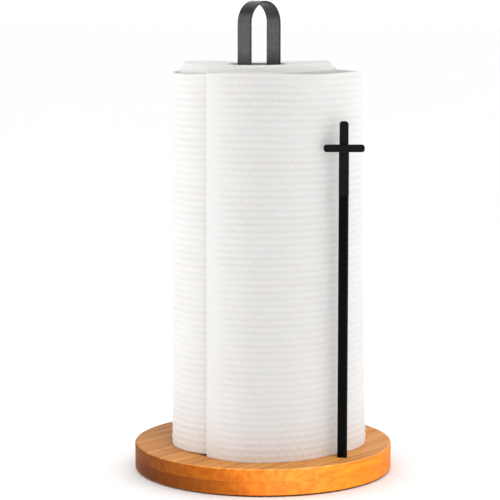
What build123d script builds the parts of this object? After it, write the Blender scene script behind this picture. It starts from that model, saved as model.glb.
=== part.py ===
from build123d import *
import os
from math import cos, radians, sin

# Countertop paper towel holder: a round bamboo base carries an inverted-U steel strap that stands
# inside the roll's core, and a slim arm with a cross at its top that stops the roll unwinding.
# Millimetres. +Z is up, the origin is under the middle of the base at the rubber feet's soles,
# and -Y is the front, which the cross faces. A bearing is an angle from the front towards +X.

# Base
BASE_DIAMETER = 190.5
BASE_THICKNESS = 19.0
BASE_EDGE_RADIUS = 1.2
FOOT_DIAMETER = 16.0
FOOT_THICKNESS = 3.0
FOOT_PROUD = 1.0
FOOT_CIRCLE_RADIUS = 78.0
FOOT_EDGE = 0.4
FOOT_POCKET_GAP = 0.15
FOOT_COUNT = 4

BASE_BOTTOM = FOOT_PROUD
BASE_TOP = BASE_BOTTOM + BASE_THICKNESS

# The post and the arm stand on one diameter of the base, at this bearing
ARM_BEARING = 45.0
ARM_RADIUS = 80.0
POST_SETBACK = 4.2

# Post: one flat steel strap bent to an inverted U
STRAP_BEARING = 46.5
STRAP_WIDTH = 13.2
STRAP_THICKNESS = 1.5
STRAP_OUTER_RADIUS = 16.2
STRAP_TOP = 345.4
STRAP_EDGE_RADIUS = 0.4
MORTISE_DEPTH = 3.0
MORTISE_GAP = 0.1

# Bar welded across the strap's legs, tapped for the two screws that come up through the base
FOOT_BAR_HEIGHT = 5.0
FOOT_BAR_CHAMFER = 0.5
POST_SCREW_SPACING = 16.0

# Arm: lower bar, and the cross that a hidden stud joins to it
ARM_WIDTH = 7.1
ARM_DEPTH = 5.2
ARM_CORNER_RADIUS = 2.2
ARM_JOINT_Z = 209.0
UPRIGHT_DEPTH = 4.8
UPRIGHT_TOP_WIDTH = 6.3
UPRIGHT_TOP_Z = 261.7
UPRIGHT_TOP_RADIUS = 2.2
CROSS_EDGE_RADIUS = 0.7
CROSS_BAR_Z = 242.8
CROSS_BAR_LENGTH = 28.9
CROSS_BAR_HEIGHT = 5.3
CROSS_BAR_THICKNESS = 3.0
CROSS_BAR_END_RADIUS = 2.0
STUD_DIAMETER = 3.0
STUD_LENGTH = 14.0

# Screws from below, each on a washer in a counterbore
COUNTERBORE_DEPTH = 6.0
COUNTERBORE_GAP = 1.0
THREAD_GAP = 0.05
CLEARANCE_GAP = 0.3
TAPPED_SPARE = 0.8
WASHER_THICKNESS = 1.0
POST_SCREW = {"shank": 5.0, "head": 9.5, "head_height": 2.75, "socket": 3.0, "washer": 12.0, "grip": 4.5}
ARM_SCREW = {"shank": 3.0, "head": 5.7, "head_height": 1.65, "socket": 2.0, "washer": 7.0, "grip": 12.0}
SOCKET_DEPTH_SHARE = 0.6

# Paper: cardboard core, tight roll, and the loose outer turns
REST_GAP = 0.1
ROLL_OFFSET_X = -1.6
ROLL_HEIGHT = 279.4
CORE_INNER_RADIUS = 20.5
CORE_WALL = 1.5
CORE_RUNNING_GAP = 0.06
ROLL_RADIUS = 56.5
ROLL_SHOULDER_WIDTH = 3.2
ROLL_SHOULDER_HEIGHT = 6.0
SHEET_HEIGHT = 273.6
SHEET_THICKNESS = 0.8
# Loose turns: bearing, radius at the foot, radius at the top, from the free edge to the tight roll
SHEET_TURNS = [
    (-31, 70.4, 69.4),
    (-20, 74.2, 71.8),
    (-8, 78.6, 73.6),
    (10, 79.3, 74.6),
    (24, 78.8, 74.8),
    (38, 76.7, 75.0),
    (65, 79.6, 75.7),
    (95, 80.4, 75.9),
    (135, 77.6, 73.8),
    (180, 71.6, 68.8),
    (225, 66.4, 64.2),
    (270, 63.0, 61.9),
    (295, 65.6, 62.6),
    (325, 66.4, 63.2),
    (345, 65.0, 62.2),
    (380, 61.8, 60.6),
    (425, 59.4, 58.9),
    (480, 57.5, 57.5),
]


def on_bearing(bearing, radius):
    """Plan position at a bearing and a distance from the base's axis."""
    return Vector(radius * sin(radians(bearing)), -radius * cos(radians(bearing)))


ARM_CENTER = on_bearing(ARM_BEARING, ARM_RADIUS)
POST_CENTER = on_bearing(ARM_BEARING, -POST_SETBACK)
ROLL_CENTER = POST_CENTER + Vector(ROLL_OFFSET_X, 0)
ARC_CENTER_Z = STRAP_TOP - STRAP_OUTER_RADIUS
LEG_BOTTOM = BASE_TOP - MORTISE_DEPTH
COUNTERBORE_TOP = BASE_BOTTOM + COUNTERBORE_DEPTH
PAPER_BOTTOM = BASE_TOP + REST_GAP
LEG_MIDDLE = STRAP_OUTER_RADIUS - STRAP_THICKNESS / 2
FOOT_BAR_LENGTH = 2 * (STRAP_OUTER_RADIUS - STRAP_THICKNESS)


def post_place(z):
    """The post's own frame at height z: local X runs from leg to leg."""
    return Location((POST_CENTER.X, POST_CENTER.Y, z), (0, 0, STRAP_BEARING))


def arm_place(z):
    return Location((ARM_CENTER.X, ARM_CENTER.Y, z))


def post_screw_places(z):
    """The two screw axes in the foot bar, left one first."""
    return [post_place(z) * Pos(side * POST_SCREW_SPACING / 2, 0, 0) for side in (-1, 1)]


def foot_places(z):
    return [Location((*on_bearing(turn * 360 / FOOT_COUNT, FOOT_CIRCLE_RADIUS),)) * Pos(0, 0, z)
            for turn in range(FOOT_COUNT)]


def upright_cylinder(diameter, height):
    """Cylinder that stands on its local origin."""
    return Cylinder(diameter / 2, height, align=(Align.CENTER, Align.CENTER, Align.MIN))


def bar_section(gap=0.0):
    """The arm's rounded rectangular section, grown by a gap for its mortise."""
    return RectangleRounded(ARM_WIDTH + 2 * gap, ARM_DEPTH + 2 * gap, ARM_CORNER_RADIUS + gap)


def screw_passage(screw, floor):
    """What one screw removes from the base: its counterbore and the clearance hole up to floor."""
    counterbore = upright_cylinder(screw["washer"] + 2 * COUNTERBORE_GAP, COUNTERBORE_DEPTH)
    hole = upright_cylinder(screw["shank"] + 2 * CLEARANCE_GAP, floor - BASE_BOTTOM)
    return counterbore + hole


def bamboo_base():
    board = Pos(0, 0, BASE_BOTTOM) * upright_cylinder(BASE_DIAMETER, BASE_THICKNESS)
    board = fillet(board.edges(), BASE_EDGE_RADIUS)
    for place in post_screw_places(BASE_BOTTOM):
        board -= place * screw_passage(POST_SCREW, BASE_TOP)
    board -= arm_place(BASE_BOTTOM) * screw_passage(ARM_SCREW, BASE_TOP)
    slot = Box(
        STRAP_THICKNESS + 2 * MORTISE_GAP,
        STRAP_WIDTH + 2 * MORTISE_GAP,
        MORTISE_DEPTH + MORTISE_GAP,
        align=(Align.CENTER, Align.CENTER, Align.MAX),
    )
    for side in (-1, 1):
        board -= post_place(BASE_TOP) * Pos(side * LEG_MIDDLE, 0, 0) * slot
    board -= arm_place(LEG_BOTTOM - MORTISE_GAP) * extrude(bar_section(MORTISE_GAP), MORTISE_DEPTH + 1)
    pocket = upright_cylinder(FOOT_DIAMETER + 2 * FOOT_POCKET_GAP, FOOT_THICKNESS - FOOT_PROUD)
    for place in foot_places(BASE_BOTTOM):
        board -= place * pocket
    return board


def rubber_foot(place):
    disc = upright_cylinder(FOOT_DIAMETER, FOOT_THICKNESS)
    return place * fillet(disc.edges().sort_by(Axis.Z)[0], FOOT_EDGE)


def center_post():
    """Flat strap, bent over a half circle; its legs end in the base's mortises."""
    leg = ARC_CENTER_Z - LEG_BOTTOM
    outline = Pos(0, -leg / 2) * Rectangle(2 * STRAP_OUTER_RADIUS, leg)
    outline += Circle(STRAP_OUTER_RADIUS)
    inner_radius = STRAP_OUTER_RADIUS - STRAP_THICKNESS
    inside = Pos(0, -leg / 2 - 1) * Rectangle(2 * inner_radius, leg + 2)
    inside += Circle(inner_radius)
    strap = extrude(Plane.XZ * (outline - inside), STRAP_WIDTH / 2, both=True)
    long_edges = strap.edges().group_by(Axis.Y)[0] + strap.edges().group_by(Axis.Y)[-1]
    rounded = [edge for edge in long_edges if edge.length > 2 * STRAP_THICKNESS]
    strap = fillet(rounded, STRAP_EDGE_RADIUS)
    return post_place(ARC_CENTER_Z) * strap


def post_foot_bar():
    bar = Box(FOOT_BAR_LENGTH, STRAP_WIDTH, FOOT_BAR_HEIGHT, align=(Align.CENTER, Align.CENTER, Align.MIN))
    top_edges = bar.faces().sort_by(Axis.Z)[-1].edges().filter_by(Axis.X)
    bar = post_place(BASE_TOP) * chamfer(top_edges, FOOT_BAR_CHAMFER)
    for place in post_screw_places(BASE_TOP):
        bar -= place * upright_cylinder(POST_SCREW["shank"] + 2 * THREAD_GAP, FOOT_BAR_HEIGHT)
    return bar


def arm_bar():
    """Lower length of the arm: tapped below for its screw and above for the stud."""
    length = ARM_JOINT_Z - LEG_BOTTOM
    bar = extrude(bar_section(), length)
    screw_reach = ARM_SCREW["grip"] + TAPPED_SPARE
    bar -= upright_cylinder(ARM_SCREW["shank"] + 2 * THREAD_GAP, screw_reach)
    bar -= Pos(0, 0, length) * stud_hole()
    return arm_place(LEG_BOTTOM) * bar


def stud_hole():
    """Tapped hole for half the stud, reaching both ways from the joint."""
    return Cylinder(STUD_DIAMETER / 2 + THREAD_GAP, STUD_LENGTH + 2 * TAPPED_SPARE)


def arm_joint_stud():
    return arm_place(ARM_JOINT_Z) * Cylinder(STUD_DIAMETER / 2, STUD_LENGTH)


def cross_upright():
    """Upper length of the arm; it narrows behind the cross bar and ends in a rounded top."""
    lower_height = CROSS_BAR_Z - ARM_JOINT_Z
    upper_height = UPRIGHT_TOP_Z - CROSS_BAR_Z
    lower = Rectangle(ARM_WIDTH, lower_height, align=(Align.CENTER, Align.MIN))
    upper = Rectangle(UPRIGHT_TOP_WIDTH, upper_height, align=(Align.CENTER, Align.MIN))
    upper = fillet(upper.vertices().group_by(Axis.Y)[-1], UPRIGHT_TOP_RADIUS)
    profile = lower + Pos(0, lower_height) * upper
    upright = extrude(Plane.XZ * profile, UPRIGHT_DEPTH / 2, both=True)
    seam = upright.edges().group_by(Axis.Z)[0]
    around = upright.faces().sort_by(Axis.Y)[0].edges() + upright.faces().sort_by(Axis.Y)[-1].edges()
    upright = fillet([edge for edge in around if edge not in seam], CROSS_EDGE_RADIUS)
    return arm_place(ARM_JOINT_Z) * (upright - stud_hole())


def cross_bar():
    """Short flat bar welded across the upright's front face."""
    outline = RectangleRounded(CROSS_BAR_LENGTH, CROSS_BAR_HEIGHT, CROSS_BAR_END_RADIUS)
    bar = extrude(Plane.XZ * outline, CROSS_BAR_THICKNESS)
    front_edges = bar.faces().sort_by(Axis.Y)[0].edges()
    bar = fillet(front_edges, CROSS_EDGE_RADIUS)
    return arm_place(CROSS_BAR_Z) * Pos(0, -UPRIGHT_DEPTH / 2, 0) * bar


def screw(kind, place):
    """Button head below, shank upwards; place is the middle of the washer's lower face."""
    head = Cylinder(kind["head"] / 2, kind["head_height"], align=(Align.CENTER, Align.CENTER, Align.MAX))
    head = fillet(head.edges().sort_by(Axis.Z)[0], kind["head_height"] / 2)
    socket = extrude(RegularPolygon(kind["socket"] / 2, 6, major_radius=False),
                     kind["head_height"] * SOCKET_DEPTH_SHARE)
    head -= Pos(0, 0, -kind["head_height"]) * socket
    return place * (head + upright_cylinder(kind["shank"], kind["reach"]))


def washer(kind, place):
    ring = upright_cylinder(kind["washer"], WASHER_THICKNESS)
    return place * (ring - upright_cylinder(kind["shank"] + 2 * CLEARANCE_GAP, WASHER_THICKNESS))


def cardboard_core():
    outer = 2 * (CORE_INNER_RADIUS + CORE_WALL)
    tube = upright_cylinder(outer, ROLL_HEIGHT) - upright_cylinder(2 * CORE_INNER_RADIUS, ROLL_HEIGHT)
    return Location((ROLL_CENTER.X, ROLL_CENTER.Y, PAPER_BOTTOM)) * tube


def towel_roll():
    """Tight part of the roll, with a sloping shoulder at its top."""
    hole_radius = CORE_INNER_RADIUS + CORE_WALL + CORE_RUNNING_GAP
    roll = upright_cylinder(2 * ROLL_RADIUS, ROLL_HEIGHT)
    rim = roll.edges().sort_by(Axis.Z)[-1]
    side = roll.faces().filter_by(GeomType.CYLINDER)[0]
    roll = chamfer(rim, ROLL_SHOULDER_HEIGHT, ROLL_SHOULDER_WIDTH, reference=side)
    roll -= upright_cylinder(2 * hole_radius, ROLL_HEIGHT)
    return Location((ROLL_CENTER.X, ROLL_CENTER.Y, PAPER_BOTTOM)) * roll


def sheet_section(radius_column, z):
    """Plan section of the loose turns at height z, as a thin spiral band."""
    points = [(turn[0], turn[radius_column]) for turn in SHEET_TURNS]
    outer = [on_bearing(bearing, radius + SHEET_THICKNESS / 2) for bearing, radius in points]
    inner = [on_bearing(bearing, radius - SHEET_THICKNESS / 2) for bearing, radius in reversed(points)]
    band = [Spline(outer), Line(outer[-1], inner[0]), Spline(inner), Line(inner[-1], outer[0])]
    return Pos(ROLL_CENTER.X, ROLL_CENTER.Y, z) * make_face(band)


def loose_sheet():
    """Loose outer turns, wider at the foot than at the top."""
    foot = sheet_section(1, PAPER_BOTTOM)
    top = sheet_section(2, PAPER_BOTTOM + SHEET_HEIGHT)
    return loft([foot, top], ruled=True)


def screw_set(name, kind, place, joint_top):
    """A screw and its washer under the counterbore's ceiling, with the shank reaching joint_top."""
    under_washer = place * Pos(0, 0, COUNTERBORE_TOP - WASHER_THICKNESS)
    kind = {**kind, "reach": joint_top + kind["grip"] - (COUNTERBORE_TOP - WASHER_THICKNESS)}
    return {name + "_screw": screw(kind, under_washer), name + "_washer": washer(kind, under_washer)}


def main():
    parts = {
        "bamboo_base": bamboo_base(),
        "center_post": center_post(),
        "post_foot_bar": post_foot_bar(),
        "arm_bar": arm_bar(),
        "arm_joint_stud": arm_joint_stud(),
        "cross_upright": cross_upright(),
        "cross_bar": cross_bar(),
        "cardboard_core": cardboard_core(),
        "towel_roll": towel_roll(),
        "loose_sheet": loose_sheet(),
    }
    for side, place in zip(("left", "right"), post_screw_places(0)):
        parts.update(screw_set("post_" + side, POST_SCREW, place, BASE_TOP))
    parts.update(screw_set("arm", ARM_SCREW, arm_place(0), LEG_BOTTOM))
    for number, place in enumerate(foot_places(0), start=1):
        parts["rubber_foot_" + str(number)] = rubber_foot(place)

    os.makedirs("parts", exist_ok=True)
    for node, shape in parts.items():
        export_step(shape, "parts/" + node + ".step")


main()
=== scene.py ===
"""Paper towel holder: bamboo base, black steel post and arm with a cross, and an embossed towel roll.

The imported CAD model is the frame. The holder keeps its CAD shapes and gets materials; the roll is
made here as mesh: the tight roll with its wound layers, and the loose outer turns as one embossed
sheet. Lengths are in metres unless a comment says otherwise, in the CAD's own frame.
"""

import math

import bpy
import numpy as np
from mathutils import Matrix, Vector


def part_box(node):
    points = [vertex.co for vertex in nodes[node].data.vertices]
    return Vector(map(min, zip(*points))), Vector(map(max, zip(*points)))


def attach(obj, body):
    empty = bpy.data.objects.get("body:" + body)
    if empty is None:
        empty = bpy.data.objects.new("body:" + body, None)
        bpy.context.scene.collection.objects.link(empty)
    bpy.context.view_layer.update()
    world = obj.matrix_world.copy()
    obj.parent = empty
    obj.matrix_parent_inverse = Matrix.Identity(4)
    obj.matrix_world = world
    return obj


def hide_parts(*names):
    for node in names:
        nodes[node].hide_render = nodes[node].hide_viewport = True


MM = 0.001

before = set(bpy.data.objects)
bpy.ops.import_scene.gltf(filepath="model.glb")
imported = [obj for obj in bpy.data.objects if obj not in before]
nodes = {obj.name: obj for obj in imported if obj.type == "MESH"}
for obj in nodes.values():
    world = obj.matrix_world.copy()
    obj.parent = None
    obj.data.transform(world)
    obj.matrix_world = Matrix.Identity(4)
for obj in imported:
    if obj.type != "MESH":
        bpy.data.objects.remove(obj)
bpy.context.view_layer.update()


# ---------------------------------------------------------------- places read from the frame

core_low, core_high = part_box("cardboard_core")
roll_low, roll_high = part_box("towel_roll")
sheet_low, sheet_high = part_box("loose_sheet")
base_low, base_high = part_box("bamboo_base")
ROLL_X = (core_low.x + core_high.x) / 2
ROLL_Y = (core_low.y + core_high.y) / 2
CORE_OUTER = (core_high.x - core_low.x) / 2
ROLL_RADIUS = (roll_high.x - roll_low.x) / 2
ROLL_BOTTOM, ROLL_TOP = roll_low.z, roll_high.z
SHEET_BOTTOM, SHEET_TOP = sheet_low.z, sheet_high.z
BASE_MIDDLE_Z = (base_low.z + base_high.z) / 2


# ---------------------------------------------------------------- node helpers

class Shader:
    """A material's node tree with short calls for the nodes used here."""

    def __init__(self, name):
        self.material = bpy.data.materials.new(name)
        self.material.use_nodes = True
        self.tree = self.material.node_tree
        self.bsdf = self.tree.nodes["Principled BSDF"]
        self.place = self.node("ShaderNodeTexCoord").outputs["Object"]

    def node(self, kind, **settings):
        made = self.tree.nodes.new(kind)
        for key, value in settings.items():
            setattr(made, key, value)
        return made

    def put(self, socket, value):
        """Link an output socket, or set a plain value."""
        if isinstance(value, bpy.types.NodeSocket):
            self.tree.links.new(value, socket)
        else:
            socket.default_value = value

    def math(self, operation, *values, clamp=False):
        made = self.node("ShaderNodeMath", operation=operation, use_clamp=clamp)
        for socket, value in zip(made.inputs, values):
            self.put(socket, value)
        return made.outputs[0]

    def split(self, vector):
        made = self.node("ShaderNodeSeparateXYZ")
        self.put(made.inputs[0], vector)
        return made.outputs

    def join(self, x, y, z):
        made = self.node("ShaderNodeCombineXYZ")
        for socket, value in zip(made.inputs, (x, y, z)):
            self.put(socket, value)
        return made.outputs[0]

    def mapping(self, vector, scale=(1, 1, 1), rotation=(0, 0, 0)):
        made = self.node("ShaderNodeMapping")
        self.put(made.inputs["Vector"], vector)
        made.inputs["Rotation"].default_value = rotation
        made.inputs["Scale"].default_value = scale
        return made.outputs[0]

    def noise(self, vector, scale, detail=3.0, roughness=0.55):
        made = self.node("ShaderNodeTexNoise")
        self.put(made.inputs["Vector"], vector)
        made.inputs["Scale"].default_value = scale
        made.inputs["Detail"].default_value = detail
        made.inputs["Roughness"].default_value = roughness
        return made.outputs["Fac"]

    def random(self, value):
        made = self.node("ShaderNodeTexWhiteNoise", noise_dimensions="1D")
        self.put(made.inputs["W"], value)
        return made.outputs["Value"]

    def remap(self, value, low, high, to_low=0.0, to_high=1.0):
        made = self.node("ShaderNodeMapRange", clamp=True, interpolation_type="SMOOTHSTEP")
        for key, number in zip(("Value", "From Min", "From Max", "To Min", "To Max"),
                               (value, low, high, to_low, to_high)):
            self.put(made.inputs[key], number)
        return made.outputs[0]

    def mix(self, share, a, b, blend="MIX"):
        made = self.node("ShaderNodeMix", data_type="RGBA", blend_type=blend)
        self.put(made.inputs["Factor"], share)
        self.put(made.inputs[6], color(a))
        self.put(made.inputs[7], color(b))
        return made.outputs[2]

    def bump(self, height, distance, strength=1.0, after=None):
        made = self.node("ShaderNodeBump")
        made.inputs["Strength"].default_value = strength
        made.inputs["Distance"].default_value = distance
        self.put(made.inputs["Height"], height)
        if after is not None:
            self.put(made.inputs["Normal"], after)
        return made.outputs[0]

    def finish(self, **values):
        """Set or link the Principled sockets, named with _ for a space."""
        for key, value in values.items():
            socket = self.bsdf.inputs[key.replace("_", " ")]
            self.put(socket, color(value) if socket.type == "RGBA" else value)
        return self.material


def color(value):
    """A bare RGB triple gets its alpha."""
    if isinstance(value, tuple) and len(value) == 3:
        return (*value, 1.0)
    return value


# ---------------------------------------------------------------- materials

GRAIN_TURN = math.radians(50)
STRIP_WIDTH = 15.5 * MM
LAYER_SHIFT = 0.43
KNUCKLE_SPREAD = 0.30
KNUCKLE_HALF_WIDTH = 2.6 * MM
RIM_PALE = (0.44, 0.125, 0.008)
RIM_DEEP = (0.33, 0.075, 0.003)
# The top's paler colours are painted sheen on the same wood as the rim.
TOP_PALE = (0.60, 0.272, 0.078)
TOP_DEEP = (0.43, 0.165, 0.036)
DARK_FIBRE = (0.20, 0.055, 0.006)
KNUCKLE_BROWN = (0.22, 0.07, 0.012)
GLUE_BROWN = (0.14, 0.04, 0.006)
# Colour of the end grain and of the painted shade on the rim.
END_GRAIN_AND_SHADE_BROWN = (0.09, 0.018, 0.001)
PORE_BROWN = (0.16, 0.040, 0.004)


def bamboo():
    """Laminated strips in two layers: a solid texture, so the edge shows the strips' ends."""
    s = Shader("bamboo")
    along, across, up = s.split(s.mapping(s.place, rotation=(0, 0, -GRAIN_TURN)))
    layer = s.math("GREATER_THAN", up, BASE_MIDDLE_Z)
    shift = s.math("MULTIPLY", layer, LAYER_SHIFT)
    shifted = s.math("ADD", s.math("DIVIDE", across, STRIP_WIDTH), shift)
    strip = s.math("FLOOR", shifted)
    tone = s.random(s.math("ADD", strip, s.math("MULTIPLY", layer, 41.7)))
    second = s.random(s.math("ADD", s.math("MULTIPLY", strip, 3.1), s.math("ADD", layer, 7.3)))

    wander = s.noise(s.place, 14.0, detail=2.0)
    soft_across = s.math("ADD", across, s.math("MULTIPLY", wander, 1.6 * MM))
    grain_place = s.join(s.math("ADD", along, s.math("MULTIPLY", strip, 0.37)), soft_across, up)
    fibres = s.noise(s.mapping(grain_place, scale=(14, 1300, 1300)), 1.0, detail=3.0, roughness=0.6)
    streaks = s.noise(s.mapping(grain_place, scale=(5, 210, 210)), 1.0, detail=3.0)
    clouds = s.noise(s.mapping(grain_place, scale=(9, 34, 34)), 1.0, detail=2.0)

    face = s.split(s.node("ShaderNodeNewGeometry").outputs["Normal"])
    # The top gets paler, yellower colours than the rim of the same wood: painted sheen, standing for the
    # light the top reflects at a grazing view.
    on_top = s.remap(face[2], 0.35, 0.95)
    pale = s.mix(on_top, RIM_PALE, TOP_PALE)
    deep = s.mix(on_top, RIM_DEEP, TOP_DEEP)
    body = s.mix(s.remap(streaks, 0.34, 0.66), deep, pale)
    body = s.mix(s.math("MULTIPLY", tone, 0.45), body, deep)
    body = s.mix(s.remap(fibres, 0.50, 0.74, 0.0, 0.50), body, DARK_FIBRE)
    body = s.mix(s.remap(clouds, 0.45, 0.75, 0.0, 0.25), body, deep)

    knuckle_at = s.math("MULTIPLY", s.math("SUBTRACT", second, 0.5), KNUCKLE_SPREAD)
    from_knuckle = s.math("ABSOLUTE", s.math("SUBTRACT", along, knuckle_at))
    knuckle = s.remap(from_knuckle, 0.6 * MM, KNUCKLE_HALF_WIDTH, 1.0, 0.0)
    body = s.mix(s.math("MULTIPLY", knuckle, 0.35), body, KNUCKLE_BROWN)

    from_side = s.math("ABSOLUTE", s.math("SUBTRACT", s.math("FRACT", shifted), 0.5))
    glue = s.remap(from_side, 0.490, 0.497)
    from_seam = s.math("ABSOLUTE", s.math("SUBTRACT", up, BASE_MIDDLE_Z))
    seam = s.remap(from_seam, 0.05 * MM, 0.35 * MM, 1.0, 0.0)
    lines = s.math("MAXIMUM", glue, seam)
    body = s.mix(s.math("MULTIPLY", lines, 0.28), body, GLUE_BROWN)

    # Darker on faces across the grain: partly the end grain's own darker tone, partly painted shade, which
    # darkens the rim's left front. The lower layer is darkened more, as painted shade near the floor.
    grain_facing = s.math("ADD", s.math("MULTIPLY", face[0], math.cos(GRAIN_TURN)),
                          s.math("MULTIPLY", face[1], math.sin(GRAIN_TURN)))
    end_grain = s.remap(s.math("ABSOLUTE", grain_facing), 0.70, 1.0)
    lower = s.math("SUBTRACT", 1.0, layer)
    end_grain_and_painted_shade = s.math("MULTIPLY", end_grain, s.math("ADD", 0.45, s.math("MULTIPLY", lower, 0.30)))
    body = s.mix(end_grain_and_painted_shade, body, END_GRAIN_AND_SHADE_BROWN)
    pores = s.node("ShaderNodeTexVoronoi", feature="F1", distance="EUCLIDEAN")
    s.put(pores.inputs["Vector"], s.mapping(grain_place, scale=(60, 1000, 1000)))
    pores.inputs["Scale"].default_value = 1.0
    dots = s.remap(pores.outputs["Distance"], 0.10, 0.30, 1.0, 0.0)
    on_rim = s.math("SUBTRACT", 1.0, on_top)
    body = s.mix(s.math("MULTIPLY", s.math("MULTIPLY", dots, on_rim), 0.40), body, PORE_BROWN)

    relief = s.math("SUBTRACT", s.math("MULTIPLY", fibres, -0.5), lines)
    normal = s.bump(relief, 0.12 * MM, strength=0.5)
    return s.finish(
        Base_Color=body,
        Roughness=s.remap(fibres, 0.3, 0.8, 0.46, 0.66),
        Normal=normal,
        Specular_IOR_Level=0.10,
    )


def powder_coat(name, dark, light, roughness, gloss):
    """Fine matt black coating with an orange-peel surface and faint handling marks."""
    s = Shader(name)
    peel = s.noise(s.place, 1500.0, detail=2.0)
    broad = s.noise(s.place, 260.0, detail=3.0)
    scuffs = s.noise(s.mapping(s.place, scale=(1, 1, 0.35)), 95.0, detail=6.0, roughness=0.7)
    marks = s.remap(scuffs, 0.60, 0.78)
    tint = s.mix(s.remap(broad, 0.35, 0.65), dark, light)
    tint = s.mix(s.math("MULTIPLY", marks, 0.30), tint, tuple(4 * c + 0.01 for c in light))
    rough = s.math("ADD", s.remap(broad, 0.3, 0.7, roughness - 0.06, roughness + 0.06),
                   s.math("MULTIPLY", marks, 0.08))
    normal = s.bump(s.math("ADD", peel, s.math("MULTIPLY", broad, 1.5)), 0.035 * MM, strength=0.6)
    return s.finish(Base_Color=tint, Roughness=rough, Normal=normal, Specular_IOR_Level=gloss)


def zinc():
    """Zinc-plated steel with a fine turned grain and a mottled crystal tone."""
    s = Shader("zinc")
    mottle = s.noise(s.place, 420.0, detail=4.0)
    turned = s.noise(s.mapping(s.place, scale=(900, 900, 5200)), 1.0, detail=2.0)
    tint = s.mix(s.remap(mottle, 0.3, 0.7), (0.42, 0.43, 0.46), (0.66, 0.66, 0.66))
    normal = s.bump(turned, 0.02 * MM, strength=0.5)
    return s.finish(Base_Color=tint, Metallic=1.0, Roughness=s.remap(mottle, 0.3, 0.7, 0.28, 0.46),
                    Normal=normal)


def rubber():
    """Moulded rubber, dull, with a fine pebble and dust in the low spots."""
    s = Shader("rubber")
    pebble = s.noise(s.place, 1900.0, detail=2.0)
    dust = s.noise(s.place, 160.0, detail=4.0)
    tint = s.mix(s.remap(dust, 0.45, 0.75, 0.0, 0.7), (0.018, 0.018, 0.018), (0.07, 0.066, 0.06))
    return s.finish(Base_Color=tint, Roughness=s.remap(dust, 0.3, 0.7, 0.72, 0.92),
                    Normal=s.bump(pebble, 0.05 * MM, strength=0.6))


CORE_SEAM_LEAD = 95 * MM


def cardboard():
    """Spiral-wound grey-brown board: one seam climbs the tube, with fibres and flecks."""
    s = Shader("cardboard")
    x, y, z = s.split(s.place)
    angle = s.math("ARCTAN2", s.math("SUBTRACT", y, ROLL_Y), s.math("SUBTRACT", x, ROLL_X))
    climb = s.math("FRACT", s.math("SUBTRACT", s.math("DIVIDE", z, CORE_SEAM_LEAD),
                                   s.math("DIVIDE", angle, 2 * math.pi)))
    seam = s.remap(s.math("ABSOLUTE", s.math("SUBTRACT", climb, 0.5)), 0.004, 0.012, 1.0, 0.0)
    fibres = s.noise(s.mapping(s.place, scale=(1, 1, 2.6)), 900.0, detail=4.0)
    flecks = s.noise(s.place, 2300.0, detail=1.0)
    tint = s.mix(s.remap(fibres, 0.3, 0.7), (0.58, 0.54, 0.49), (0.72, 0.68, 0.63))
    tint = s.mix(s.remap(flecks, 0.66, 0.74, 0.0, 0.6), tint, (0.20, 0.16, 0.12))
    tint = s.mix(s.math("MULTIPLY", seam, 0.6), tint, (0.30, 0.24, 0.18))
    height = s.math("SUBTRACT", s.math("MULTIPLY", fibres, 0.5), seam)
    return s.finish(Base_Color=tint, Roughness=0.9, Normal=s.bump(height, 0.15 * MM, strength=0.6))


PAPER_LIGHT = (0.928, 0.918, 0.904)
PAPER_SHADE = (0.872, 0.856, 0.836)
# Painted shade in the emboss's valleys.
PAPER_VALLEY_SHADE = (0.79, 0.768, 0.746)
ROW_PITCH = 4.78 * MM
DOT_PITCH = 6.0 * MM
PERFORATION_AT = 279.4 * MM
PERFORATION_PITCH = 2.4 * MM


def paper_shader(name):
    """What both paper materials share: tissue fibres and soft mottling."""
    s = Shader(name)
    fibres = s.noise(s.mapping(s.place, scale=(1, 1, 0.6)), 1700.0, detail=4.0, roughness=0.65)
    mottle = s.noise(s.place, 130.0, detail=3.0)
    tint = s.mix(s.remap(fibres, 0.35, 0.70), PAPER_LIGHT, PAPER_SHADE)
    tint = s.mix(s.remap(mottle, 0.4, 0.7, 0.0, 0.25), tint, PAPER_LIGHT)
    return s, fibres, mottle, tint


def wave(s, value, pitch, turns=1.0):
    """Cosine of a length measured in pitches."""
    return s.math("COSINE", s.math("MULTIPLY", value, turns * 2 * math.pi / pitch))


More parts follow.
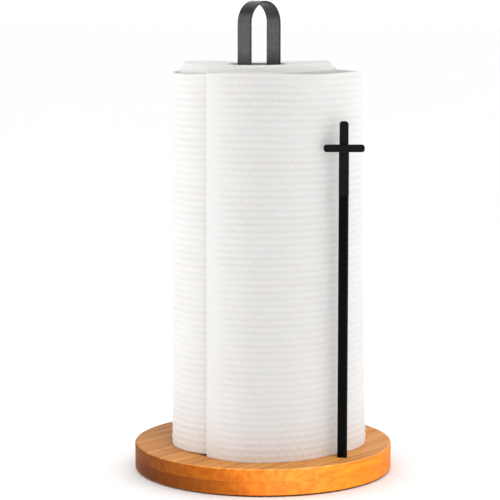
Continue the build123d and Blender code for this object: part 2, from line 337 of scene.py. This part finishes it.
def tissue():
    """The loose sheet: soft two-ply tissue, with painted shade in the emboss's valleys and in a perforated
    line's cuts.
    """
    s, fibres, mottle, tint = paper_shader("tissue")
    along, up, _ = s.split(s.node("ShaderNodeUVMap", uv_map="paper").outputs[0])
    strength = s.node("ShaderNodeAttribute", attribute_name="emboss").outputs["Fac"]
    dots = s.math("MULTIPLY", wave(s, along, DOT_PITCH), wave(s, up, ROW_PITCH, 0.5))
    ridges = wave(s, up, ROW_PITCH)
    pattern = s.math("ADD", s.math("MULTIPLY", ridges, ROW_SHARE), s.math("MULTIPLY", dots, DOT_SHARE))
    # Painted shade: the emboss's valleys are darkened, more where the emboss is stronger.
    furrow = s.math("ADD", ridges, s.math("MULTIPLY", dots, 0.5))
    valley_shade = s.math("MULTIPLY", s.remap(furrow, -1.0, 0.4, 1.0, 0.0), strength)
    tint = s.mix(s.math("MULTIPLY", valley_shade, 0.40), tint, PAPER_VALLEY_SHADE)

    # The perforated line: its cuts are darkened as painted shade, and dented in the bump.
    from_tear = s.math("ABSOLUTE", s.math("SUBTRACT", along, PERFORATION_AT))
    on_line = s.remap(from_tear, 0.10 * MM, 0.45 * MM, 1.0, 0.0)
    holes = s.remap(wave(s, up, PERFORATION_PITCH), -0.3, 0.1)
    cut = s.math("MULTIPLY", on_line, holes)
    tint = s.mix(s.math("MULTIPLY", cut, 0.5), tint, (0.35, 0.33, 0.31))

    height = s.math("ADD", fibres, s.math("MULTIPLY", mottle, 0.5))
    normal = s.bump(s.math("SUBTRACT", height, cut), 0.10 * MM, strength=0.45)
    return s.finish(
        Base_Color=tint,
        Roughness=s.remap(mottle, 0.3, 0.7, 0.86, 0.96),
        Normal=s.bump(s.math("MULTIPLY", pattern, strength), 0.30 * MM, strength=0.5, after=normal),
        Sheen_Weight=0.12,
        Subsurface_Weight=0.35,
        Subsurface_Radius=(4.0 * MM, 3.7 * MM, 3.3 * MM),
    )


LAYER_PITCH = 0.46 * MM


def wound_layers():
    """The tight roll: the same tissue, with painted shade in the gaps between the wound layers on its end
    faces.
    """
    s, fibres, mottle, tint = paper_shader("wound_tissue")
    x, y, _ = s.split(s.place)
    out_x, out_y = s.math("SUBTRACT", x, ROLL_X), s.math("SUBTRACT", y, ROLL_Y)
    squares = s.math("ADD", s.math("MULTIPLY", out_x, out_x), s.math("MULTIPLY", out_y, out_y))
    radius = s.math("SQRT", squares)
    angle = s.math("ARCTAN2", out_y, out_x)
    turn = s.math("SUBTRACT", s.math("DIVIDE", radius, LAYER_PITCH), s.math("DIVIDE", angle, 2 * math.pi))
    turn = s.math("ADD", turn, s.math("MULTIPLY", mottle, 2.2))
    # Painted shade: the gaps between the wound layers on the end faces are darkened, and dented in the
    # bump.
    gap = s.remap(s.math("ABSOLUTE", s.math("SUBTRACT", s.math("FRACT", turn), 0.5)), 0.34, 0.5)
    upward = s.split(s.node("ShaderNodeNewGeometry").outputs["Normal"])[2]
    on_end = s.remap(s.math("ABSOLUTE", upward), 0.3, 0.8)
    gap = s.math("MULTIPLY", gap, on_end)
    tint = s.mix(s.math("MULTIPLY", gap, 0.40), tint, (0.50, 0.48, 0.45))
    height = s.math("SUBTRACT", s.math("MULTIPLY", fibres, 0.4), gap)
    return s.finish(
        Base_Color=tint,
        Roughness=s.remap(mottle, 0.3, 0.7, 0.86, 0.96),
        Normal=s.bump(height, 0.14 * MM, strength=0.5),
        Sheen_Weight=0.12,
    )


DEEP_BLACK = ((0.0008, 0.0008, 0.0008), (0.0016, 0.0016, 0.0016))
ARM_BLACK = ((0.0025, 0.0024, 0.0023), (0.005, 0.0048, 0.0046))
POST_BLACK = ((0.004, 0.004, 0.004), (0.007, 0.007, 0.007))


def dress_cad_nodes():
    """Every CAD node that stays gets its material."""
    deep_black = powder_coat("powder_coat_deep", *DEEP_BLACK, roughness=0.38, gloss=0.07)
    arm_black = powder_coat("powder_coat_arm", *ARM_BLACK, roughness=0.42, gloss=0.18)
    post_black = powder_coat("powder_coat_post", *POST_BLACK, roughness=0.34, gloss=0.56)
    steel, sole = zinc(), rubber()
    by_node = {
        "bamboo_base": bamboo(),
        "center_post": post_black,
        "post_foot_bar": post_black,
        "arm_bar": deep_black,
        "cross_upright": arm_black,
        "cross_bar": arm_black,
        "cardboard_core": cardboard(),
    }
    for name in nodes:
        if name.endswith(("_screw", "_washer", "_stud")):
            by_node[name] = steel
        if name.startswith("rubber_foot"):
            by_node[name] = sole
    for name, material in by_node.items():
        mesh = nodes[name].data
        mesh.materials.clear()
        mesh.materials.append(material)


# ---------------------------------------------------------------- mesh helpers

def add_mesh(name, points, faces, material, smooth=True):
    mesh = bpy.data.meshes.new(name)
    mesh.from_pydata(points.tolist(), [], faces)
    mesh.materials.append(material)
    if smooth:
        mesh.polygons.foreach_set("use_smooth", np.ones(len(mesh.polygons), bool))
    mesh.validate()
    mesh.update()
    made = bpy.data.objects.new(name, mesh)
    bpy.context.scene.collection.objects.link(made)
    return made


def grid_faces(rows, columns, wrap=False, flip=False, first=0):
    """Quads of a grid of points stored row by row; wrap joins the last column to the first."""
    i, j = np.meshgrid(np.arange(rows - 1), np.arange(columns if wrap else columns - 1), indexing="ij")
    a = first + i * columns + j
    b = first + i * columns + (j + 1) % columns
    quads = np.stack([a, b, b + columns, a + columns], axis=-1).reshape(-1, 4)
    if flip:
        quads = quads[:, ::-1]
    return quads.tolist()


def cubic_through(at, values):
    """Natural cubic spline through the given values, as a function of the same variable."""
    at, values = np.asarray(at, float), np.asarray(values, float)
    gaps = np.diff(at)
    slopes = np.diff(values) / gaps
    size = len(at)
    system = np.eye(size)
    right = np.zeros(size)
    for k in range(1, size - 1):
        system[k, k - 1:k + 2] = gaps[k - 1], 2 * (gaps[k - 1] + gaps[k]), gaps[k]
        right[k] = 6 * (slopes[k] - slopes[k - 1])
    bend = np.linalg.solve(system, right)

    def curve(t):
        k = np.clip(np.searchsorted(at, t) - 1, 0, size - 2)
        a, b, h = at[k + 1] - t, t - at[k], gaps[k]
        straight = (values[k] / h - bend[k] * h / 6) * a + (values[k + 1] / h - bend[k + 1] * h / 6) * b
        return straight + (bend[k] * a ** 3 + bend[k + 1] * b ** 3) / (6 * h)
    return curve


def soft_noise(u, v, seed, waves=7, low=0.5, high=2.0):
    """Smooth random unevenness from a few summed waves, mostly between -1 and 1."""
    rng = np.random.default_rng(seed)
    total = np.zeros(np.broadcast(u, v).shape)
    for _ in range(waves):
        turn, size, phase = rng.uniform(0, 2 * math.pi), rng.uniform(low, high), rng.uniform(0, 2 * math.pi)
        total = total + np.sin(2 * math.pi * size * (u * math.cos(turn) + v * math.sin(turn)) + phase)
    return total / math.sqrt(waves)


# ---------------------------------------------------------------- the loose outer turns

# Bearing from the front towards +X, radius at the foot and at the top in mm, as in the CAD source
SHEET_TURNS = [
    (-31, 70.4, 69.4),
    (-20, 74.2, 71.8),
    (-8, 78.6, 73.6),
    (10, 79.3, 74.6),
    (24, 78.8, 74.8),
    (38, 76.7, 75.0),
    (65, 79.6, 75.7),
    (95, 80.4, 75.9),
    (135, 77.6, 73.8),
    (180, 71.6, 68.8),
    (225, 66.4, 64.2),
    (270, 63.0, 61.9),
    (295, 65.6, 62.6),
    (325, 66.4, 63.2),
    (345, 65.0, 62.2),
    (380, 61.8, 60.6),
    (425, 59.4, 58.9),
    (480, 57.5, 57.5),
]
SHEET_PLY = 0.45 * MM
ROWS_PER_PITCH = 4
COLUMNS_PER_DOT = 5
HIDDEN_STEP = 3.0 * MM
HIDDEN_FROM = 345
EMBOSS_DEPTH = 0.80 * MM
ROW_SHARE = 0.28
DOT_SHARE = 0.20
SMOOTH_EDGE = 9 * MM
EMBOSS_FADE = 6 * MM
EDGE_FADE = 4 * MM
SHEET_SAG = 0.35 * MM
SAG_FADE = 60 * MM
EDGE_WAVE = 0.35 * MM
FRONT_LIFT = 2.2 * MM
INNER_LIFT = 3.0 * MM
INNER_LIFT_FROM = 300
INNER_LIFT_OVER = 90


def emboss(along, up):
    """Height of the embossed pattern, 0 to 1: rows of staggered pillows, ridged along each row."""
    rows = np.cos(2 * math.pi * up / ROW_PITCH)
    dots = np.cos(2 * math.pi * along / DOT_PITCH) * np.cos(math.pi * up / ROW_PITCH)
    return np.clip(0.5 + ROW_SHARE * rows + DOT_SHARE * dots, 0, 1)


def sheet_columns(foot, top):
    """Bearings of the sheet's columns: evenly spaced along the paper, wider apart where hidden."""
    fine = np.radians(np.linspace(SHEET_TURNS[0][0], SHEET_TURNS[-1][0], 6000))
    radius = (foot(np.degrees(fine)) + top(np.degrees(fine))) / 2 * MM
    length = np.concatenate([[0], np.cumsum(np.hypot(np.diff(radius), radius[1:] * np.diff(fine)))])
    outer_length = np.interp(math.radians(HIDDEN_FROM), fine, length)
    outer = np.arange(0, outer_length, DOT_PITCH / COLUMNS_PER_DOT)
    hidden_length = length[-1] - outer[-1]
    hidden = outer[-1] + np.linspace(0, hidden_length, round(hidden_length / HIDDEN_STEP) + 1)[1:]
    stations = np.concatenate([outer, hidden])
    return np.degrees(np.interp(stations, length, fine)), stations


def loose_sheet():
    """One long embossed sheet, from its free edge at the front left, around and in to the tight roll."""
    bearings, radius_foot, radius_top = zip(*SHEET_TURNS)
    foot, top = cubic_through(bearings, radius_foot), cubic_through(bearings, radius_top)
    bearing, station = sheet_columns(foot, top)
    height = SHEET_TOP - SHEET_BOTTOM
    rows = round(height / (ROW_PITCH / ROWS_PER_PITCH)) + 1
    up = np.linspace(0, 1, rows)[:, None]
    along = station[None, :]
    angle = np.radians(bearing)[None, :]

    radius = ((1 - up) * foot(bearing)[None, :] + up * top(bearing)[None, :]) * MM
    settled = np.clip(along / SAG_FADE, 0, 1)
    radius = radius + soft_noise(along / 0.16, up * height / 0.16, seed=5) * SHEET_SAG * settled
    strength = np.clip((along - SMOOTH_EDGE) / EMBOSS_FADE, 0.12, 1) * np.ones_like(up)
    strength = strength * np.clip(np.minimum(up, 1 - up) * height / EDGE_FADE, 0.3, 1)
    strength = strength * (0.9 + 0.22 * soft_noise(along / 0.05, up * height / 0.03, seed=21))
    outside = radius + EMBOSS_DEPTH * strength * (emboss(along, up * height) - 0.5)
    inside = outside - SHEET_PLY

    front = FRONT_LIFT * np.clip(np.cos(angle), 0, 1) * (bearing < 180)
    telescoped = INNER_LIFT * np.clip((bearing[None, :] - INNER_LIFT_FROM) / INNER_LIFT_OVER, 0, 1)
    edge_wave = soft_noise(along / 0.07, np.zeros_like(along), seed=11) * EDGE_WAVE
    z = SHEET_BOTTOM + up * height + up ** 3 * (front + edge_wave) + telescoped

    def shell(r):
        return np.stack([ROLL_X + r * np.sin(angle), ROLL_Y - r * np.cos(angle), z], axis=-1).reshape(-1, 3)

    columns = len(bearing)
    count = rows * columns
    faces = grid_faces(rows, columns) + grid_faces(rows, columns, flip=True, first=count)
    rim = (list(range(columns)) + [i * columns + columns - 1 for i in range(1, rows)]
           + [(rows - 1) * columns + j for j in range(columns - 2, -1, -1)]
           + [i * columns for i in range(rows - 2, 0, -1)])
    for a, b in zip(rim, rim[1:] + rim[:1]):
        faces.append([b, a, a + count, b + count])
    made = add_mesh("towel_loose_turns", np.concatenate([shell(outside), shell(inside)]), faces, tissue())
    paper = np.stack([along + 0 * radius, up * height + 0 * radius], axis=-1).reshape(-1, 2)
    paint_paper(made.data, np.concatenate([paper, paper]), np.tile(strength.reshape(-1), 2))
    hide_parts("loose_sheet")
    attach(made, "paper")
    return made


def paint_paper(mesh, paper, strength):
    """Store each point's place on the flat paper, in metres, and how strongly it is embossed."""
    corner_points = np.empty(len(mesh.loops), dtype=np.int32)
    mesh.loops.foreach_get("vertex_index", corner_points)
    mesh.uv_layers.new(name="paper").data.foreach_set("uv", paper[corner_points].reshape(-1))
    mesh.attributes.new("emboss", "FLOAT", "POINT").data.foreach_set("value", strength)


# ---------------------------------------------------------------- the tight roll

SHOULDER_WIDTH = 3.2 * MM
SHOULDER_DROP = 6.0 * MM
SIDE_RISE = 2.6 * MM
RIDGE_PITCH = 0.92 * MM
RIDGE_HEIGHT = 0.22 * MM
ROLL_COLUMNS = 288
END_RINGS = 150
SIDE_ROWS = 60
END_UNEVENNESS = 0.25 * MM
BORE_GAP = 0.06 * MM


def tight_roll():
    """The wound part: a bore, two end faces ridged by the layers, a slipped shoulder and a plain side."""
    angle = np.linspace(0, 2 * math.pi, ROLL_COLUMNS, endpoint=False)[None, :]
    inner = CORE_OUTER + BORE_GAP
    end_radius = np.linspace(inner, ROLL_RADIUS, END_RINGS)[:, None]
    turn = end_radius / RIDGE_PITCH - angle / (2 * math.pi)
    wobble = 0.35 * soft_noise(end_radius / 0.02, angle, seed=3)
    ridges = np.abs(np.sin(math.pi * (turn + wobble)))
    uneven = soft_noise(end_radius / 0.03, np.cos(angle) + 0 * end_radius, seed=8) * END_UNEVENNESS
    slip = np.clip((end_radius - (ROLL_RADIUS - SHOULDER_WIDTH)) / SHOULDER_WIDTH, 0, 1)
    outward = (end_radius - inner) / (ROLL_RADIUS - inner)
    rise = SIDE_RISE * outward ** 2 * np.cos(angle) ** 2
    top = ROLL_TOP + rise - RIDGE_HEIGHT * (1 - ridges) - np.abs(uneven) - SHOULDER_DROP * slip ** 1.15
    bottom = ROLL_BOTTOM + RIDGE_HEIGHT * (1 - ridges)

    side_height = np.linspace(0, 1, SIDE_ROWS)[1:-1, None]
    side_z = bottom[-1][None, :] + side_height * (top[-1] - bottom[-1])[None, :]
    side_r = np.full_like(side_z, ROLL_RADIUS)

    def ring(r, z):
        r = np.broadcast_to(r, z.shape)
        return np.stack([ROLL_X + r * np.cos(angle), ROLL_Y + r * np.sin(angle), z], axis=-1)

    bands = [ring(end_radius, bottom), ring(side_r, side_z), ring(end_radius[::-1], top[::-1])]
    points = np.concatenate(bands)
    rows = points.shape[0]
    faces = grid_faces(rows, ROLL_COLUMNS, wrap=True)
    last, columns = (rows - 1) * ROLL_COLUMNS, np.arange(ROLL_COLUMNS)
    for j in columns:
        k = (j + 1) % ROLL_COLUMNS
        faces.append([int(last + j), int(last + k), int(k), int(j)])
    made = add_mesh("towel_roll_tight", points.reshape(-1, 3), faces, wound_layers())
    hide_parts("towel_roll")
    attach(made, "paper")
    return made


# ---------------------------------------------------------------- studio

CAMERA_DISTANCE = 1.5014
CAMERA_X = -0.0097
CAMERA_HEIGHT = 0.3599
CAMERA_PITCH = math.radians(7.48)
SENSOR_WIDTH = 36.0
LENS = 147.8
FLOOR_SIZE = 30.0
AIM_HEIGHT = 0.17
ROOM_BRIGHT_FROM = -0.20
FLOOR_WASH = 0.88
FLOOR_WASH_SPREAD = 120


def camera():
    data = bpy.data.cameras.new("camera")
    data.sensor_width = SENSOR_WIDTH
    data.lens = LENS
    data.clip_end = 100
    made = bpy.data.objects.new("camera", data)
    made.location = (CAMERA_X, -CAMERA_DISTANCE, CAMERA_HEIGHT)
    made.rotation_euler = (math.pi / 2 - CAMERA_PITCH, 0, 0)
    bpy.context.scene.collection.objects.link(made)
    bpy.context.scene.camera = made


def floor():
    half = FLOOR_SIZE / 2
    s = Shader("floor")
    cloudy = s.noise(s.place, 3.0, detail=2.0)
    s.finish(Base_Color=s.mix(cloudy, (0.93, 0.93, 0.93), (0.95, 0.95, 0.95)), Roughness=0.9)
    points = np.array([(-half, -half, 0), (half, -half, 0), (half, half, 0), (-half, half, 0)], float)
    made = add_mesh("floor", points, [[0, 1, 2, 3]], s.material, smooth=False)
    return made


def softbox(name, bearing, distance, height, width, tall, watts, only_on=None, not_on=None,
            passes=None):
    """Area light at a bearing from the front, aimed at the object.

    It lights every piece, or only some, or all but some; passes lists pieces that throw no shadow in it.
    """
    data = bpy.data.lights.new(name, "AREA")
    data.shape = "RECTANGLE"
    data.size, data.size_y = width, tall
    data.energy = watts
    made = bpy.data.objects.new(name, data)
    turn = math.radians(bearing)
    made.location = (distance * math.sin(turn), -distance * math.cos(turn), height)
    aim = Vector((0, 0, AIM_HEIGHT)) - made.location
    made.rotation_euler = aim.to_track_quat("-Z", "Y").to_euler()
    bpy.context.scene.collection.objects.link(made)
    if only_on:
        made.light_linking.receiver_collection = listing(name + "_lights", only_on, "INCLUDE")
    if not_on:
        made.light_linking.receiver_collection = listing(name + "_skips", not_on, "EXCLUDE")
    if passes:
        made.light_linking.blocker_collection = listing(name + "_passes", passes, "EXCLUDE")


def listing(name, pieces, state):
    """A named collection of the pieces that a light includes or excludes."""
    listed = bpy.data.collections.new(name)
    for piece in pieces:
        listed.objects.link(piece)
    for entry in listed.collection_objects:
        entry.light_linking.link_state = state
    return listed


def floor_wash(ground):
    """Broad light from above on the floor alone, so it stays as pale as the room behind it."""
    data = bpy.data.lights.new("floor_wash", "SUN")
    data.energy = FLOOR_WASH
    data.angle = math.radians(FLOOR_WASH_SPREAD)
    made = bpy.data.objects.new("floor_wash", data)
    bpy.context.scene.collection.objects.link(made)
    made.light_linking.receiver_collection = listing("floor_wash_lights", [ground], "INCLUDE")


def room(around, front, left, right):
    """Even light from behind and above, weaker from the front, where the camera stands, and both sides."""
    world = bpy.data.worlds.new("studio")
    bpy.context.scene.world = world
    world.use_nodes = True
    tree = world.node_tree
    direction = tree.nodes.new("ShaderNodeTexCoord").outputs["Generated"]
    split = tree.nodes.new("ShaderNodeSeparateXYZ")
    tree.links.new(direction, split.inputs[0])

    def ramp(axis, start, end, low, high):
        level = tree.nodes.new("ShaderNodeMapRange")
        level.interpolation_type = "SMOOTHERSTEP"
        tree.links.new(split.outputs[axis], level.inputs["Value"])
        for key, value in zip(("From Min", "From Max", "To Min", "To Max"), (start, end, low, high)):
            level.inputs[key].default_value = value
        return level.outputs[0]

    def product(a, b):
        made = tree.nodes.new("ShaderNodeMath")
        made.operation = "MULTIPLY"
        tree.links.new(a, made.inputs[0])
        tree.links.new(b, made.inputs[1])
        return made.outputs[0]

    sides = product(ramp("X", -1.0, 0.0, left, 1.0), ramp("X", 0.0, 1.0, 1.0, right))
    level = product(ramp("Y", -1.0, ROOM_BRIGHT_FROM, front, around), sides)
    background = tree.nodes["Background"]
    background.inputs["Color"].default_value = (1, 1, 1, 1)
    tree.links.new(level, background.inputs["Strength"])


def studio(towel, ground):
    """The room and the lights, several of which light only some pieces."""
    base, arm = nodes["bamboo_base"], nodes["arm_bar"]
    cross = [nodes["cross_upright"], nodes["cross_bar"]]
    room(around=1.15, front=0.30, left=0.28, right=0.55)
    floor_wash(ground)
    softbox("left", bearing=-82, distance=1.5, height=0.6, width=0.9, tall=1.3, watts=8.2, not_on=[base])
    softbox("fill", bearing=-35, distance=1.5, height=0.5, width=0.9, tall=0.9, watts=0.9, only_on=towel)
    softbox("right", bearing=78, distance=1.5, height=0.6, width=1.2, tall=1.3, watts=5.6,
            passes=[arm] + cross)
    softbox("top", bearing=0, distance=0.05, height=1.5, width=0.5, tall=0.5, watts=1.7, only_on=towel)
    softbox("base_key", bearing=27, distance=1.2, height=0.25, width=1.0, tall=0.4, watts=47.0,
            only_on=[base])
    softbox("arm_rim", bearing=84, distance=1.5, height=0.3, width=0.25, tall=0.6, watts=8.0, only_on=[arm])
    softbox("cross_rim", bearing=84, distance=1.5, height=0.3, width=0.25, tall=0.6, watts=2.4,
            only_on=cross)
    scene = bpy.context.scene
    scene.view_settings.view_transform = "Standard"
    scene.view_settings.look = "None"


# ---------------------------------------------------------------- build


dress_cad_nodes()
towel = [tight_roll(), loose_sheet()]
camera()
studio(towel + [nodes["cardboard_core"]], floor())
